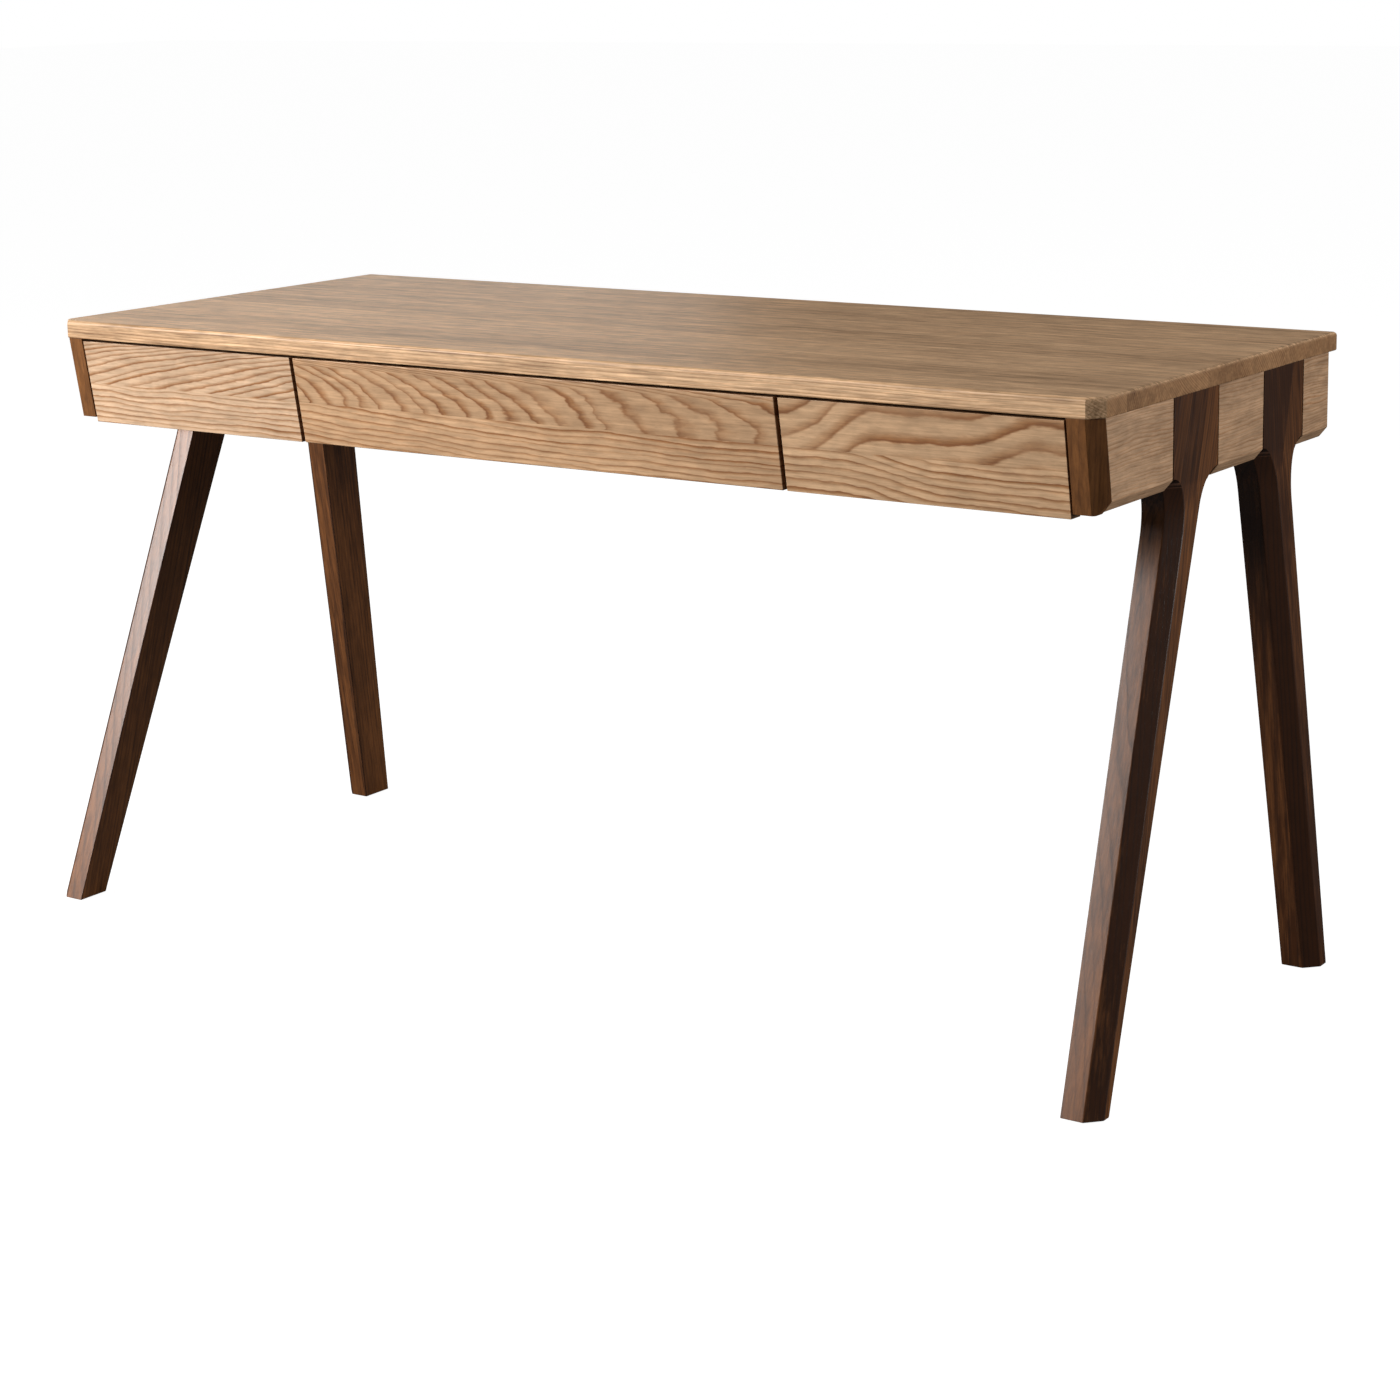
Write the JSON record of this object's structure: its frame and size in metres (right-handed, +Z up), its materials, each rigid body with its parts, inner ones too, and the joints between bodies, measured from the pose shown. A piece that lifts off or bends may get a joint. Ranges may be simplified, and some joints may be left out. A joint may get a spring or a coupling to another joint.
{
  "type": "writing desk with drawers",
  "caption": "Solid wood writing desk with a shallow body that holds drawers side by side under the top, on splayed legs whose wide heads are let into the sides.",
  "frame": {"origin": "middle of the floor area that the desk covers, at floor level", "axes": "+X along the desk's width, to the right of someone sitting at it; -Y towards that person, the way the drawers open; +Z up"},
  "size_m": [1.5058, 0.6392, 0.75],
  "materials": {
    "oak": "clear matt oil on solid oak, open grain",
    "oak_inside": "plain sanded light wood inside the body",
    "walnut": "satin oil on solid walnut",
    "plywood": "sanded birch plywood",
    "dowel": "fluted beech",
    "steel": "zinc plated",
    "brass": "turned brass",
    "felt": "pressed wool felt"
  },
  "bodies": {
    "root": {"desktop": "oak", "corner_block_left": "walnut", "corner_block_right": "walnut", "side_panel_left_front": "oak", "side_panel_left_middle": "oak", "side_panel_left_rear": "oak", "side_panel_right_front": "oak", "side_panel_right_middle": "oak", "side_panel_right_rear": "oak", "leg_front_left": "walnut", "leg_front_right": "walnut", "leg_rear_left": "walnut", "leg_rear_right": "walnut", "inner_side_left": "oak_inside", "inner_side_right": "oak_inside", "divider_left": "oak_inside", "divider_right": "oak_inside", "back_rail": "oak", "bottom_panel": "plywood", "left_slide_cabinet_rails": "steel", "centre_slide_cabinet_rails": "steel", "right_slide_cabinet_rails": "steel", "top_brackets": "steel", "bracket_screws": "steel", "slide_screws": "steel", "leg_bolts": "steel", "leg_inserts": "brass", "side_dowels": "dowel", "foot_glides": "felt"},
    "left_drawer": {"left_drawer_front": "oak", "left_drawer_side_left": "oak_inside", "left_drawer_side_right": "oak_inside", "left_drawer_inner_front": "oak_inside", "left_drawer_back": "oak_inside", "left_drawer_bottom": "plywood", "left_slide_drawer_rails": "steel", "left_drawer_screws": "steel"},
    "left_slide_middle": {"left_slide_middle_rails": "steel"},
    "centre_drawer": {"centre_drawer_front": "oak", "centre_drawer_side_left": "oak_inside", "centre_drawer_side_right": "oak_inside", "centre_drawer_inner_front": "oak_inside", "centre_drawer_back": "oak_inside", "centre_drawer_bottom": "plywood", "centre_slide_drawer_rails": "steel", "centre_drawer_screws": "steel"},
    "centre_slide_middle": {"centre_slide_middle_rails": "steel"},
    "right_drawer": {"right_drawer_front": "oak", "right_drawer_side_left": "oak_inside", "right_drawer_side_right": "oak_inside", "right_drawer_inner_front": "oak_inside", "right_drawer_back": "oak_inside", "right_drawer_bottom": "plywood", "right_slide_drawer_rails": "steel", "right_drawer_screws": "steel"},
    "right_slide_middle": {"right_slide_middle_rails": "steel"}
  },
  "joints": [
    {"name": "left_drawer_slide", "type": "slide", "parent": "root", "child": "left_drawer", "axis": [0, -1, 0], "range_m": [0, 0.4]},
    {"name": "left_middle_rail_slide", "type": "slide", "parent": "root", "child": "left_slide_middle", "axis": [0, -1, 0], "range_m": [0, 0.2]},
    {"name": "centre_drawer_slide", "type": "slide", "parent": "root", "child": "centre_drawer", "axis": [0, -1, 0], "range_m": [0, 0.4]},
    {"name": "centre_middle_rail_slide", "type": "slide", "parent": "root", "child": "centre_slide_middle", "axis": [0, -1, 0], "range_m": [0, 0.2]},
    {"name": "right_drawer_slide", "type": "slide", "parent": "root", "child": "right_drawer", "axis": [0, -1, 0], "range_m": [0, 0.4]},
    {"name": "right_middle_rail_slide", "type": "slide", "parent": "root", "child": "right_slide_middle", "axis": [0, -1, 0], "range_m": [0, 0.2]}
  ],
  "couplings": [
    {"joint": "left_middle_rail_slide", "follows": "left_drawer_slide", "ratio": 0.5},
    {"joint": "centre_middle_rail_slide", "follows": "centre_drawer_slide", "ratio": 0.5},
    {"joint": "right_middle_rail_slide", "follows": "right_drawer_slide", "ratio": 0.5}
  ]
}
